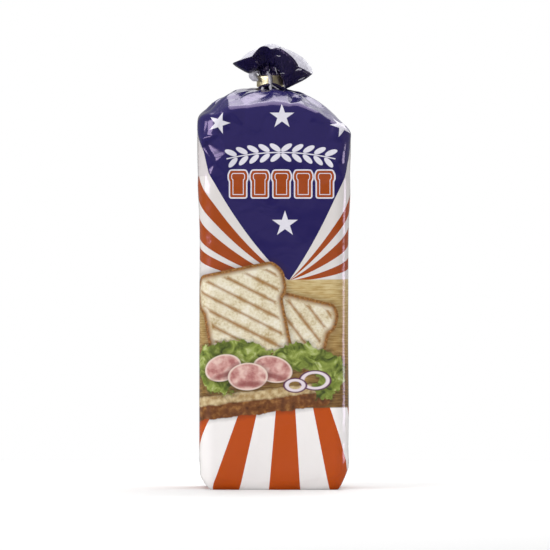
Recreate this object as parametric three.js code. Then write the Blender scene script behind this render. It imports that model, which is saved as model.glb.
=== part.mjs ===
// A tall loaf of sliced toast in a printed film bag, standing on its end.
// Millimetres, +Z up, the printed face looks along -Y, and the origin is under the middle of the base.
// Two solids: the filled bag with its gathered neck and open tail, and the foil clip round the neck.
import * as THREE from "three";

// The filled bag
const faceWidth = 120;
const sideDepth = 112;
const cornerRadius = 12;
const topSlack = 1.8; // how far the film stands off the loaf just under the shoulder, each side
const slackFrom = 190; // height where that slack begins
const slackFull = 285;

// Values given at places round the bag start at the middle of the front and go to the right.

// The rounded edge of the base at eight places: how far in and how far up it reaches
const baseInset = [5, 8, 11.5, 8, 5, 8, 10.5, 8];
const baseRise = [7, 14, 34, 14, 7, 11, 17, 11];
const baseChamfer = 1.6; // 1 rounds the edge as an ellipse, 2 cuts it straight
const gussetHeight = 74; // top of the fold that the bottom gusset leaves in each side
const gussetDepth = 3.2;

// Height of the shoulder's edge at sixteen places. The right side sits lower than the left.
const shoulderHeights = [
  310, 306, 292, 287, 287, 288, 290, 300, 308, 307, 299, 298, 300.5, 301, 299.5, 307.5,
];
const shoulderRound = 5.0;
const shoulderBelly = [1.8, 1.0, 0.6, 0.5, 0.3, 0.6, 0.95, 1.4]; // 1 is a dome, 0 a straight slope

// Broad folds on the shoulder: film distances from the middle of the front to each crease
const shoulderCreases = [-36, -8, 16, 46, 74, 100, 138, 170, 205, 240, 276, 312, 345, 376];
const shoulderBulge = 3.0;
const creasePinch = 1.4; // how far each crease runs in below the smooth shoulder
const wallFold = 0.5; // the same folds fading out down the walls
const wallFoldFoot = 245; // height where they end

// The gathered neck, a flat lens in section because the clip presses it together
const neckCentreX = -2.6;
const neckHalfWidth = 9.9;
const neckHalfDepth = 5.0;
const neckBottom = 323.6;
const neckTop = 335.4;
const neckFlare = [2.5, 0.8, 0, 0, 0, 0, 0, 0.8]; // how far the film runs up steeply to the neck
const pleats = 20;
const pleatDepth = { neck: 0.35, shoulder: 0.7, tail: 1.4 };
const pleatReach = 22; // how far the fine pleats run down the shoulder

// The open tail above the clip: curves with four handles from the top of the neck out to the rim.
// At twelve places: how far the first handle stands out from the neck, where the elbow lies, and
// how far the rim reaches from the middle of the neck; at twenty-four: the rim's height
const tailRise = 3.5;
const tailSpread = [2, 2.5, 4, 6.8, 5, 3.5, 3, 3, 4, 6.5, 4, 2.5];
const elbowReach = [9, 9, 5.5, 6, 12, 14, 12, 13, 13, 10, 14, 11];
const elbowHeights = [345, 329, 303, 312, 322, 338, 345, 345, 336, 331, 331, 342];
const rimReach = [15, 19, 28, 35, 33, 27, 24, 25, 28, 31, 31, 18];
const rimHeights = [
  355.5, 356.5, 355, 350, 343, 338, 335.5, 340, 347, 353, 357, 359.8,
  361, 359.5, 356, 352.5, 348, 344, 342.5, 344, 346, 350, 356.5, 357.5,
];
const tailWall = 1.1;
const cupShare = 0.5; // how far down the tail is open, as a share of its film
// Creases between the tail's petals, in degrees round the neck
const petalCreases = [-100, -45, 8, 62, 160, 206];
const petalPinch = 0.2; // share of its reach that the rim loses at a crease
const pleatsEnd = 0.55; // share of the tail's film where the neck's pleats have opened out

// The foil clip
const clipHalfWidth = 11.5;
const clipHalfDepth = 6.7;
const clipWall = 0.9;
const clipBottom = 325.2;
const clipHeight = 9.4;
const clipSteps = 40;

// How finely the surfaces are divided
const around = 120;
const rows = { base: 4, body: 11, round: 3, slope: 10, neck: 2, tail: 9, cup: 5 };

const { clamp, lerp, smoothstep, euclideanModulo } = THREE.MathUtils;
const turn = 2 * Math.PI;

// Length of film round the body
const perimeter = 2 * (faceWidth + sideDepth) - 8 * cornerRadius + turn * cornerRadius;

// A smooth closed curve through evenly spaced values, at t turns round
function roundValue(values, t) {
  const n = values.length;
  const place = euclideanModulo(t, 1) * n;
  const k = Math.floor(place);
  const f = place - k;
  const [a, b, c, d] = [-1, 0, 1, 2].map((step) => values[euclideanModulo(k + step, n)]);
  return b + 0.5 * f * (c - a + f * (2 * a - 5 * b + 4 * c - d + f * (3 * (b - c) + d - a)));
}

// 0 at each crease and 1 half-way between two, so that the surface meets itself in valleys
function archBetween(creases, place, period) {
  const p = euclideanModulo(place - creases[0], period) + creases[0];
  const next = creases.findIndex((c) => c > p);
  const low = next < 0 ? creases.at(-1) : creases[next - 1];
  const high = next < 0 ? creases[0] + period : creases[next];
  return Math.sin((Math.PI * (p - low)) / (high - low));
}

// Point and outward direction on the rounded rectangle, at t turns of its perimeter
function outline(t) {
  const flatX = faceWidth / 2 - cornerRadius;
  const flatY = sideDepth / 2 - cornerRadius;
  const arc = (Math.PI / 2) * cornerRadius;
  const quarter = flatX + arc + flatY;
  let s = euclideanModulo(t, 1) * perimeter;
  const spin = s > 2 * quarter ? -1 : 1;
  if (spin < 0) s -= 2 * quarter;
  const mirror = s > quarter ? -1 : 1;
  if (mirror < 0) s = 2 * quarter - s;
  const angle = clamp((s - flatX) / cornerRadius, 0, Math.PI / 2);
  const x = Math.min(s, flatX) + cornerRadius * Math.sin(angle);
  const y = -flatY - cornerRadius * Math.cos(angle) + Math.max(0, s - flatX - arc);
  return {
    x: spin * x,
    y: spin * mirror * y,
    nx: spin * Math.sin(angle),
    ny: -spin * mirror * Math.cos(angle),
  };
}

// The neck's flat lens
function lens(t, halfWidth, halfDepth) {
  const c = Math.cos(turn * t);
  return { x: neckCentreX + halfWidth * Math.sin(turn * t), y: -halfDepth * c * Math.abs(c) };
}

// How deep the bottom gusset's fold is in a side wall: a triangle that narrows upwards
function gussetFold(o, z) {
  const left = 1 - z / gussetHeight;
  if (left <= 0) return 0;
  const across = Math.abs(o.y) / (sideDepth / 2 - cornerRadius);
  return gussetDepth * o.nx * o.nx * Math.max(0, 1 - across / left) * Math.sqrt(left);
}

// The film round the loaf at height z
function bodyPoint(t, z) {
  const o = outline(t);
  const out = topSlack * smoothstep(z, slackFrom, slackFull) - gussetFold(o, z);
  return [o.x + o.nx * out, o.y + o.ny * out, z];
}

// The rounded edge between the base and the walls, k from 0 at the floor to 1
function basePoint(t, k) {
  const angle = (k * Math.PI) / 2;
  const o = outline(t);
  const inset = roundValue(baseInset, t) * (1 - Math.sin(angle) ** baseChamfer);
  const rise = roundValue(baseRise, t) * (1 - Math.max(0, Math.cos(angle)) ** baseChamfer);
  const [x, y, z] = bodyPoint(t, rise);
  return [x - o.nx * inset, y - o.ny * inset, z];
}

// The wall between the base's edge and the shoulder's, k from 0 to 1
function wallPoint(t, k) {
  const top = roundValue(shoulderHeights, t) - shoulderRound;
  return bodyPoint(t, lerp(roundValue(baseRise, t), top, k));
}

// The shoulder, w from 0 at its edge to 1 at the neck
function slopePoint(t, w) {
  const edge = roundValue(shoulderHeights, t);
  const [x, y] = bodyPoint(t, edge);
  const n = lens(t, neckHalfWidth, neckHalfDepth);
  const rise = lerp(w, Math.sin((w * Math.PI) / 2), roundValue(shoulderBelly, t));
  const flare = roundValue(neckFlare, t);
  const z = lerp(edge, neckBottom - flare, rise) + flare * w ** 8;
  return [lerp(x, n.x, w), lerp(y, n.y, w), z];
}

// Share of the shoulder that the rounding of its edge takes up
function roundShare(t) {
  const [x, y] = bodyPoint(t, roundValue(shoulderHeights, t));
  const n = lens(t, neckHalfWidth, neckHalfDepth);
  return shoulderRound / Math.hypot(x - n.x, y - n.y);
}

// The rounded edge itself, from the upright wall over to the slope, k from 0 to 1
function roundPoint(t, k) {
  const edge = roundValue(shoulderHeights, t);
  const below = bodyPoint(t, edge - shoulderRound);
  const corner = bodyPoint(t, edge);
  const over = slopePoint(t, roundShare(t));
  return corner.map((c, i) => lerp(lerp(below[i], c, k), lerp(c, over[i], k), k));
}

function neckPoint(t, k) {
  const n = lens(t, neckHalfWidth, neckHalfDepth);
  return [n.x, n.y, lerp(neckBottom, neckTop, k)];
}

// The tail's film, s from 0 at the top of the neck to 1 at the rim
function tailPoint(t, s) {
  const n = lens(t, neckHalfWidth, neckHalfDepth);
  const petal = archBetween(petalCreases, t * 360, 360) ** 0.35;
  const reach = roundValue(rimReach, t) * lerp(1 - petalPinch, 1, petal);
  const spread = roundValue(tailSpread, t);
  const elbow = roundValue(elbowReach, t);
  const outX = Math.sin(turn * t);
  const outY = -Math.cos(turn * t);
  const handles = [
    [n.x, n.y, neckTop],
    [n.x + spread * outX, n.y + spread * outY, neckTop + tailRise],
    [neckCentreX + elbow * outX, elbow * outY, roundValue(elbowHeights, t)],
    [neckCentreX + reach * outX, reach * outY, roundValue(rimHeights, t)],
  ];
  const shares = [(1 - s) ** 3, 3 * s * (1 - s) ** 2, 3 * s * s * (1 - s), s ** 3];
  return [0, 1, 2].map((axis) => handles.reduce((sum, h, i) => sum + shares[i] * h[axis], 0));
}

// Outward relief of the walls, shoulder, neck and tail
function wallRelief(t, z) {
  const folds = archBetween(shoulderCreases, t * perimeter, perimeter) - 0.6;
  return wallFold * folds * smoothstep(z, wallFoldFoot, roundValue(shoulderHeights, t));
}

function slopeRelief(t, w) {
  const broad = shoulderBulge * archBetween(shoulderCreases, t * perimeter, perimeter) - creasePinch;
  const side = lerp(0.3, 1, Math.abs(outline(t).nx));
  const run = ((1 - w) * faceWidth) / 2;
  const fine = pleatDepth.shoulder * Math.cos(turn * pleats * t) * Math.max(0, 1 - run / pleatReach);
  return side * broad * Math.sin(Math.PI * w) ** 0.8 + fine * (1 - w ** 5);
}

// The packed pleats only cut in, so that they stay clear of the clip
const packedPleats = (t) => 0.5 * (Math.cos(turn * pleats * t) - 1);

const neckRelief = (t) => pleatDepth.neck * packedPleats(t);

function tailRelief(t, s) {
  const spread = Math.sin(Math.PI * Math.min(s / pleatsEnd, 1)) ** 0.6;
  return packedPleats(t) * (pleatDepth.neck * (1 - s) + pleatDepth.tail * spread);
}

// Every ring from the floor up the outside, over the rim and down inside the tail: its points,
// its relief along the surface's normal, and how far it lies inside a wall
function ringList() {
  const steps = (count) => Array.from({ length: count }, (_, i) => i / count);
  const ring = (point, relief, inward = 0) => ({ point, relief, inward });
  const flat = () => 0;
  return [
    ...steps(rows.base).map((k) => ring((t) => basePoint(t, k), flat)),
    ...steps(rows.body).map((k) =>
      ring((t) => wallPoint(t, k), (t) => wallRelief(t, wallPoint(t, k)[2])),
    ),
    ...steps(rows.round).map((k) =>
      ring(
        (t) => roundPoint(t, k),
        (t) => lerp(wallRelief(t, wallPoint(t, 1)[2]), slopeRelief(t, roundShare(t)), k),
      ),
    ),
    ...steps(rows.slope).map((k) =>
      ring(
        (t) => slopePoint(t, lerp(roundShare(t), 1, k)),
        (t) => slopeRelief(t, lerp(roundShare(t), 1, k)),
      ),
    ),
    ...steps(rows.neck).map((k) => ring((t) => neckPoint(t, k), neckRelief)),
    ...steps(rows.tail).map((s) => ring((t) => tailPoint(t, s), (t) => tailRelief(t, s))),
    ring((t) => tailPoint(t, 1), (t) => tailRelief(t, 1)),
    ...[0, ...steps(rows.cup).map((k) => k + 1 / rows.cup)].map((k) => {
      const s = 1 - k * cupShare;
      return ring((t) => tailPoint(t, s), (t) => tailRelief(t, s), tailWall);
    }),
  ];
}

// Outward normal at a ring's point, from the ring's own neighbours and the rings beside it
function normalAt(rings, j, t) {
  const step = 1 / around;
  const inside = rings[j].inward > 0;
  const beside = (k) => (rings[k] && rings[k].inward > 0 === inside ? rings[k] : rings[j]);
  const point = (ring, place) => new THREE.Vector3(...ring.point(place));
  const along = point(rings[j], t + step).sub(point(rings[j], t - step));
  const up = point(beside(j + 1), t).sub(point(beside(j - 1), t));
  return along.cross(inside ? up.negate() : up).normalize();
}

// The filled bag as one closed mesh: a flat base, the rings, and the bottom of the tail's cup
function bagGeometry() {
  const rings = ringList();
  const points = [new THREE.Vector3()];
  rings.forEach((ring, j) => {
    for (let i = 0; i < around; i += 1) {
      const t = i / around;
      const p = new THREE.Vector3(...ring.point(t));
      p.addScaledVector(normalAt(rings, j, t), ring.relief(t) - ring.inward);
      if (j === 0) p.z = 0;
      points.push(p);
    }
  });
  const middle = new THREE.Vector3();
  points.slice(-around).forEach((p) => middle.addScaledVector(p, 1 / around));
  points.push(middle);

  const at = (j, i) => 1 + j * around + (i % around);
  const top = rings.length - 1;
  const faces = [];
  for (let i = 0; i < around; i += 1) {
    faces.push(0, at(0, i + 1), at(0, i));
    faces.push(points.length - 1, at(top, i), at(top, i + 1));
    for (let j = 0; j < top; j += 1) {
      faces.push(at(j, i), at(j, i + 1), at(j + 1, i + 1));
      faces.push(at(j, i), at(j + 1, i + 1), at(j + 1, i));
    }
  }
  const geometry = new THREE.BufferGeometry().setFromPoints(points);
  geometry.setIndex(faces);
  geometry.computeVertexNormals();
  return geometry;
}

// The clip: a strip bent round the neck into a flat loop that is pinched at both ends
function clipGeometry() {
  const loop = (halfWidth, halfDepth) =>
    Array.from({ length: clipSteps }, (_, i) => {
      const p = lens(i / clipSteps, halfWidth, halfDepth);
      return new THREE.Vector2(p.x, p.y);
    });
  const shape = new THREE.Shape(loop(clipHalfWidth, clipHalfDepth));
  shape.holes.push(new THREE.Path(loop(clipHalfWidth - clipWall, clipHalfDepth - clipWall)));
  return new THREE.ExtrudeGeometry(shape, { depth: clipHeight, bevelEnabled: false });
}

const printedFilm = new THREE.MeshStandardMaterial({ color: "#32305f", roughness: 0.25, metalness: 0 });
const goldFoil = new THREE.MeshStandardMaterial({ color: "#c9a64a", roughness: 0.35, metalness: 1 });

const bag = new THREE.Mesh(bagGeometry(), printedFilm);
bag.name = "bag";

const clip = new THREE.Mesh(clipGeometry(), goldFoil);
clip.name = "clip";
clip.position.z = clipBottom;

const loaf = new THREE.Group();
loaf.add(bag, clip);

export default loaf;
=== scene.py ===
"""A tall loaf of sliced toast in a printed film bag, standing on its end.

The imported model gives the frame: X to the right, the printed face towards -Y, Z up.
Sizes are in millimetres until a mesh is made of them, and in metres from then on.
"""

import math

import bpy
import numpy as np
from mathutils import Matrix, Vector
from mathutils.bvhtree import BVHTree
from mathutils.geometry import delaunay_2d_cdt


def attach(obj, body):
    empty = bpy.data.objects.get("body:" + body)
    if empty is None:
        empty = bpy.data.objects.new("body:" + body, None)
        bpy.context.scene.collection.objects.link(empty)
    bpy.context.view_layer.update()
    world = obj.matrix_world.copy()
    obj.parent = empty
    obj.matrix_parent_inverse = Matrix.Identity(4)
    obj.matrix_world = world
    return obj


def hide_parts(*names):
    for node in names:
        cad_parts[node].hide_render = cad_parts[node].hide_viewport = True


MM = 0.001
TURN = 2 * math.pi

# The filled bag. Values given at places round it start at the middle of the front and go right.
FACE_WIDTH = 120.0
SIDE_DEPTH = 112.0
CORNER_RADIUS = 12.0
TOP_SLACK = 1.8
SLACK_FROM, SLACK_FULL = 190.0, 285.0
BASE_INSET = [5, 8, 11.5, 8, 5, 8, 10.5, 8]
BASE_RISE = [7, 14, 34, 14, 7, 11, 17, 11]
BASE_CHAMFER = 1.6  # the power of its curve
GUSSET_HEIGHT = 74.0
GUSSET_DEPTH = 3.2
SHOULDER_HEIGHTS = [310, 306, 292, 287, 287, 288, 290, 300, 308, 307, 299, 298, 300.5, 301, 299.5, 307.5]
SHOULDER_ROUND = 5.0
SHOULDER_BELLY = [1.8, 1.0, 0.6, 0.5, 0.3, 0.6, 0.95, 1.4]
SHOULDER_CREASES = [-36, -8, 16, 46, 74, 100, 138, 170, 205, 240, 276, 312, 345, 376]  # mm round
SHOULDER_BULGE = 3.0
CREASE_PINCH = 1.4
CALM_FRONT = 0.3  # share of the bulge above the printed face and the back
ARCH_MEAN = 0.6  # roughly, so that the wall folds go in as much as out
WALL_FOLD = 0.5
WALL_FOLD_FOOT = 245.0

# The gathered neck
NECK_CENTRE_X = -2.6
NECK_HALF_WIDTH = 9.9
NECK_HALF_DEPTH = 5.0
NECK_BOTTOM, NECK_TOP = 323.6, 335.4
NECK_FLARE = [2.5, 0.8, 0, 0, 0, 0, 0, 0.8]  # how far the film runs up steeply to the neck
FLARE_POWER = 8
PLEATS = 20
PLEAT_DEPTH_NECK, PLEAT_DEPTH_SHOULDER, PLEAT_DEPTH_TAIL = 0.35, 0.7, 2.6
SHORTEST_PLEAT, LONGEST_PLEAT = 10, 34

# The open tail above the clip, by curves with four handles from the neck out to the rim
TAIL_RISE = 3.5
TAIL_SPREAD = [2, 2.5, 4, 6.8, 5, 3.5, 3, 3, 4, 6.5, 4, 2.5]
ELBOW_REACH = [9, 9, 5.5, 6, 12, 14, 12, 13, 13, 10, 14, 11]
ELBOW_HEIGHTS = [345, 329, 303, 312, 322, 338, 345, 345, 336, 331, 331, 342]
RIM_REACH = [15, 19, 28, 35, 33, 27, 24, 25, 28, 31, 31, 18]
RIM_HEIGHTS = [
    355.5, 356.5, 355, 350, 343, 338, 335.5, 340, 347, 353, 357, 359.8,
    361, 359.5, 356, 352.5, 348, 344, 342.5, 344, 346, 350, 356.5, 357.5,
]
PETAL_CREASES = [-100, -45, 8, 62, 160, 206]  # degrees round
PETAL_PINCH, PETAL_ROUNDNESS = 0.2, 0.35
PLEATS_END = 0.55
TAIL_RIDGE, TAIL_PANEL = 1.2, 1.8
TAIL_FREE_FROM, TAIL_FREE = 0.05, 0.45  # shares of its length where these start and are full
FILM_THICKNESS = 0.3

# The foil clip
CLIP_HALF_WIDTH = 11.5
CLIP_HALF_DEPTH = 6.7
CLIP_WALL = 0.9
CLIP_BOTTOM = 325.2
CLIP_HEIGHT = 9.4
CLIP_DENTS = (-0.2, 0.1)  # the deepest and the highest

# Ridges of film over the clip's front, with the printed or the bare side out: points along
# each, with its half width there. Some pale bare slivers are painted highlights where the film
# glints, partly its bare side turned out
CLIP_FOLDS_AND_GLINTS = [
    ("bare", [(-2.6, -15.0, 321.4, 0.6), (-2.9, -9.4, 326.0, 1.6), (-3.2, -8.4, 331.0, 1.5),
              (-3.6, -8.6, 334.0, 1.4), (-5.5, -9.2, 337.5, 0.4)]),
    ("printed", [(-1.3, -9.6, 327.0, 0.2), (-1.5, -9.3, 331.5, 0.4), (-1.8, -9.4, 336.0, 0.2)]),
    ("printed", [(-14.5, -8.5, 322.6, 0.4), (-11.0, -9.0, 324.6, 1.4), (-7.0, -9.2, 326.0, 1.6),
                 (-3.6, -9.2, 326.6, 1.4), (-2.8, -9.2, 327.0, 0.4)]),
    ("bare", [(-10.2, -17.0, 321.0, 0.8), (-9.4, -14.5, 323.0, 1.3), (-8.8, -12.0, 324.8, 0.9)]),
    ("printed", [(-1.6, -9.4, 328.3, 0.4), (1.5, -9.2, 326.6, 1.3), (5.0, -8.6, 324.6, 1.3),
                 (9.0, -7.5, 323.4, 1.0), (13.0, -6.5, 322.0, 0.4)]),
    ("bare", [(-1.8, -9.9, 326.6, 0.3), (0.8, -9.8, 324.8, 0.5), (4.8, -9.4, 322.2, 0.5),
              (8.0, -8.8, 321.5, 0.3)]),
    ("bare", [(-13.0, -5.0, 338.0, 0.8), (-16.2, -5.6, 337.0, 2.6), (-17.0, -6.2, 334.6, 3.8),
              (-15.6, -6.4, 332.2, 3.0), (-13.0, -6.4, 330.2, 0.8)]),
    # These four pale slivers are painted highlights: glints on the film above the clip, partly its bare side
    ("bare", [(-12.8, -5.0, 340.0, 0.2), (-12.0, -3.3, 337.0, 0.45), (-11.2, -2.9, 334.8, 0.25)]),
    ("bare", [(-6.6, -4.7, 334.6, 0.2), (-4.8, -5.6, 337.0, 0.5), (-3.4, -5.7, 339.6, 0.25)]),
    ("bare", [(0.8, -7.7, 341.2, 0.2), (1.6, -6.4, 338.6, 0.5), (2.6, -4.6, 335.6, 0.25)]),
    ("bare", [(2.2, -14.1, 350.4, 0.15), (3.8, -14.7, 349.7, 0.4), (5.4, -15.6, 349.9, 0.15)]),
]
# Creases that lie on the tail's front, and pale bare slivers there that are painted highlights where
# the film glints, partly its bare side turned out: x, z and half width along each
TAIL_FOLDS_AND_GLINTS = [
    # These three pale slivers are painted highlights: glints on the tail, partly its bare side
    ("bare", [(17.5, 338.2, 0.2), (20.0, 339.4, 0.8), (22.5, 339.2, 0.9), (24.5, 340.2, 0.2)]),
    ("bare", [(19.5, 330.4, 0.15), (22.5, 331.8, 0.5), (25.0, 333.0, 0.15)]),
    ("bare", [(4.7, 335.9, 0.15), (6.6, 336.3, 0.4), (8.4, 336.0, 0.15)]),
    ("printed", [(-13.5, 351.0, 0.3), (-12.5, 346.0, 1.5), (-10.0, 340.0, 1.2), (-8.5, 336.5, 0.3)]),
    ("printed", [(-1.5, 353.0, 0.3), (-1.8, 348.0, 1.6), (-1.6, 342.0, 1.2), (-1.2, 337.0, 0.3)]),
]
FOLD_STEEPNESS, FOLD_ROUNDNESS, FOLD_BACK, FOLD_STANDS_OUT = 1.1, 1.2, 0.25, 0.6
FOLD_STEPS, FOLD_CORNERS = 28, 12
# How much longer the film is up to the neck than the neck is high
NECK_FILM_EXTRA = 44

# How finely the film is divided
AROUND = 400
CALM_SHARE = 0.62
ROWS = {"under": 3, "base": 8, "calm wall": 20, "wall": 80, "round": 6, "slope": 44, "neck": 6, "tail": 28}

PERIMETER = 2 * (FACE_WIDTH + SIDE_DEPTH) - 8 * CORNER_RADIUS + TURN * CORNER_RADIUS
FILM_STEP = PERIMETER / AROUND
# The print under the base is drawn together to a point this far down the film
BASE_MIDDLE_BELOW = 8

# Corners of the flat facets that the slack film makes above the loaf, as film distance from
# the middle of the front, film height, and how far each corner stands out
FRONT_FACETS = [
    (-34.5, 304, 1.8), (-41, 313, 2.3), (-50, 325, 2.1), (-58, 336, 1.4), (-72, 322, -0.2), (-62, 313, -1.0),
    (-86, 325, 0.4), (-50, 305, -0.6), (-61, 301, 0.0),
    (-67, 293, 0.2), (-62, 284, 0.2), (-53.8, 298.3, -1.2), (-43.7, 296.6, 1.2), (-46.6, 289.9, 1.2),
    (-54.5, 285.2, -0.2), (-44, 286.8, -0.2), (-33, 286.8, 0.2), (-54.5, 282.7, 1.5), (-44, 284.2, 1.5),
    (-33, 284.8, 0.7), (-36, 297, -0.4), (-34, 291, 0.2),
    (-53, 277.6, -3.0), (-38.1, 270.1, 2.9), (-46.6, 262.6, 0.2),
    (-57, 274.6, 0.5), (-59, 274, -0.9), (-66, 290, 0.3), (-68, 289, -0.9), (-51.5, 254, 0.4),
    (-54, 253, -0.9), (-36, 252, 0.3), (-28, 262, -0.2), (-27, 276, 0.1), (-36, 240, 0.2), (-47, 240, 0.3),
    (-24, 292, -0.2), (-23, 311, -1.2), (-9, 311, -0.2), (-3, 308, 0.0), (6, 300, 0.2), (12, 310, 0.0),
    (21.5, 312.5, 1.4), (22, 303, -0.2), (28, 307, 0.4), (28, 296, 0.3), (37, 304, 0.6), (46, 296, -0.5),
    (50, 290, 0.7), (58, 292, -0.5), (0, 285, 0.1), (14, 272, 0.4), (-12, 272, -0.2), (30, 276, 0.3),
    (42, 280, -0.3), (56, 278, 0.8), (50, 262, 0.9), (60, 262, -0.8), (55, 251, 1.1), (47, 254, -0.5),
    (64, 248, 0.2), (58, 240, 0.6),
    (-10, 250, 0.3), (20, 250, -0.2), (38, 246, 0.3), (0, 228, -0.2), (-48, 236, 0.5), (32, 226, 0.3),
    (-26, 331, 1.4), (-13, 321, 0.1), (-36, 322, 1.2), (-15, 333, 2.0), (2, 334, 2.4), (17, 332, 2.2),
    (23, 328, -1.0), (33, 325, 0.2), (34, 316, -0.4), (46, 312, 0.7), (60, 306, -0.5), (38, 334, 0.6),
    (54, 326, -0.3), (-14, 345, 1.2), (4, 346, 1.4), (22, 343, 0.6), (-42, 338, 1.5),
]
# The part of the front that they fill: its half width, and its lowest and highest film height
FRONT_REACH = 68.0
FRONT_FOOT, FRONT_TOP = 222.0, 342.0

# Scattered facets: a seed, and for each band its lowest and highest place, the mean distance
# between its corners round and up, and how far they stand out at most
FILM_SEED, FILM_BANDS = 14, [(-10, 195, 52, 44, 0.3), (205, 285, 30, 22, 0.6), (290, 372, 15, 13, 1.1)]
FOOT_TOP = 90
FOOT_SEED, FOOT_BAND = 6, (-16, FOOT_TOP, 17, 13, 0.6)
CLIP_SEED, CLIP_BAND = 31, (-8, 8, 3.4, 2.6, 0.22)
# The tail's band is in tenths of a turn, fifths of its length and shares of TAIL_PANEL
TAIL_SEED, TAIL_BAND = 21, (-0.5, 6.6, 0.8, 2.0, 1.0)
CORNER_SHAKE = 0.35
# The film's facets fade out from this share of the slope up, and the foot's grow up to the first of
# these heights and fade out between the other two
FACETS_FADE = 0.75
FOOT_FULL, FOOT_FADES, FOOT_GONE = 8, 15, 75

# The print, in film coordinates: distance from the middle of the front, and height up the wall
INK_NAVY = "#211d57"
INK_STAR = "#e2e0e9"
# The tucked panel's white film is printed grey: painted shade
TUCK_SHADE_INK = "#d3cdcd"
# The print is duller above the board than below it: partly painted shade, partly the greyer look of white ink
# on slack film over the loaf
UPPER_INKS = {"navy": INK_NAVY, "orange": "#a0470a", "white": "#dfdad7"}
LOWER_INKS = {"orange": "#bf5004", "white": "#f9f6f4"}
# Rays above the board: clockwise angle from straight up at which each starts, white and orange in
# turn, apart from the navy shield
UPPER_CENTRE = (12.0, 168.0)
UPPER_RAYS = [-90, -81, -74, -70, -61, -54.7, -47.6, -41.3, 30, 38.8, 45, 51, 60.5, 69.5, 78]
SHIELD_FROM = -41.3
# They lean inwards with length, by this share for each millimetre past the straight length
RAY_BEND, STRAIGHT_REACH = 0.0024, 60.0
# Rays below the board: angle from straight down, to the right
LOWER_CENTRE = (10.6, 170.2)
LOWER_RAYS = [
    -90, -66, -60, -53, -46, -38, -29.5, -20, -13.3, -5,
    3.4, 10.7, 18.1, 26, 33.5, 40.5, 47, 53.5, 60, 66, 72,
]
# Middle, turn and radius of each star
STARS = [
    (6.4, 299.8, 0.0, 10.3), (8.8, 213.6, 0.0, 10.8), (-44.0, 294.5, -0.3, 9.0), (55.0, 292.8, 0.25, 10.0),
]
# The shield's navy closes round the whole bag above this height
CROWN_FOOT = 299.0

# The white side panel that is tucked over the shield at its left: the corner where two edges meet,
# how each of them leans, and the level foot
TUCK_CORNER, TUCK_LEANS, TUCK_FOOT = (-57.0, 274.6), (-0.6, -0.231), 252.0

# The film heights between which the gathered film is printed nearly black as painted shade, and its gloss
# turns crumpled
TAIL_SHADE_FROM, TAIL_SHADE_FULL = 338.0, 356.0
TAIL_SHADE_INK, TAIL_SHADE_SHARE = "#07060c", 0.65
CRUMPLED_FROM, CRUMPLED_FULL = 370.0, 384.0

# Motifs on the shield: an arched garland of wheat, and a row of toast slices under it
GARLAND_CENTRE = (5.5, 85.0)
GARLAND_RADIUS = 186.0
GRAINS_A_SIDE, GRAIN_PITCH = 5, 8.8
GRAIN_HALF_LENGTH, GRAIN_HALF_WIDTH = 5.0, 2.1
GRAIN_LEAN = 0.62
TOAST_ROW_CENTRE = (6.0, 245.6)
TOASTS, TOAST_PITCH = 5, 17.4
TOAST_HALF_WIDTH, TOAST_HALF_HEIGHT = 7.4, 10.6
TOAST_OUTLINE = 1.1

# The printed still life: a wooden board, toast standing on it, and salad and cold cuts in front
BOARD_CENTRE, BOARD_HALF_SIZE, BOARD_TURN = (0.0, 117.0), (130.0, 51.5), 0.012
LOAF_CENTRE, LOAF_HALF_SIZE, LOAF_TURN = (-14.0, 70.0), (60.0, 9.0), 0.12
SLICES = [((19.0, 126.0), (29.0, 29.0), -0.24), ((-24.0, 141.0), (38.0, 37.0), 0.2)]
LEAVES = [
    ((-52.0, 106.0), (19.0, 10.0), 0.5), ((40.0, 101.0), (20.0, 11.0), -0.35),
    ((-24.0, 110.0), (21.0, 10.0), -0.2), ((14.0, 106.0), (22.0, 11.0), 0.25),
    ((44.0, 84.0), (14.0, 9.0), 0.6), ((-46.0, 86.0), (15.0, 8.0), -0.5),
]
CUTS = [
    ((-41.0, 98.0), (15.0, 10.5), 0.3), ((-1.0, 97.0), (16.0, 10.5), -0.25),
    ((-21.0, 91.0), (16.0, 11.0), 0.05),
]
ONION_RINGS = [((33.0, 88.0), 12.5), ((17.0, 84.0), 9.0)]


def lerp(a, b, k):
    return a + (b - a) * k


def smoothstep(x, low, high):
    k = np.clip((x - low) / (high - low), 0, 1)
    return k * k * (3 - 2 * k)


def round_value(values, t):
    """A smooth closed curve through evenly spaced values, at t turns round."""
    values = np.asarray(values, float)
    place = (t % 1) * len(values)
    k = np.floor(place).astype(int)
    f = place - k
    a, b, c, d = (values[(k + step) % len(values)] for step in (-1, 0, 1, 2))
    return b + 0.5 * f * (c - a + f * (2 * a - 5 * b + 4 * c - d + f * (3 * (b - c) + d - a)))


def arch_between(creases, place, period):
    """0 at each crease and 1 half-way between two."""
    edges = np.array([*creases, creases[0] + period], float)
    p = (place - edges[0]) % period + edges[0]
    k = np.clip(np.searchsorted(edges, p, side="right") - 1, 0, len(creases) - 1)
    return np.abs(np.sin(np.pi * (p - edges[k]) / (edges[k + 1] - edges[k])))


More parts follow.
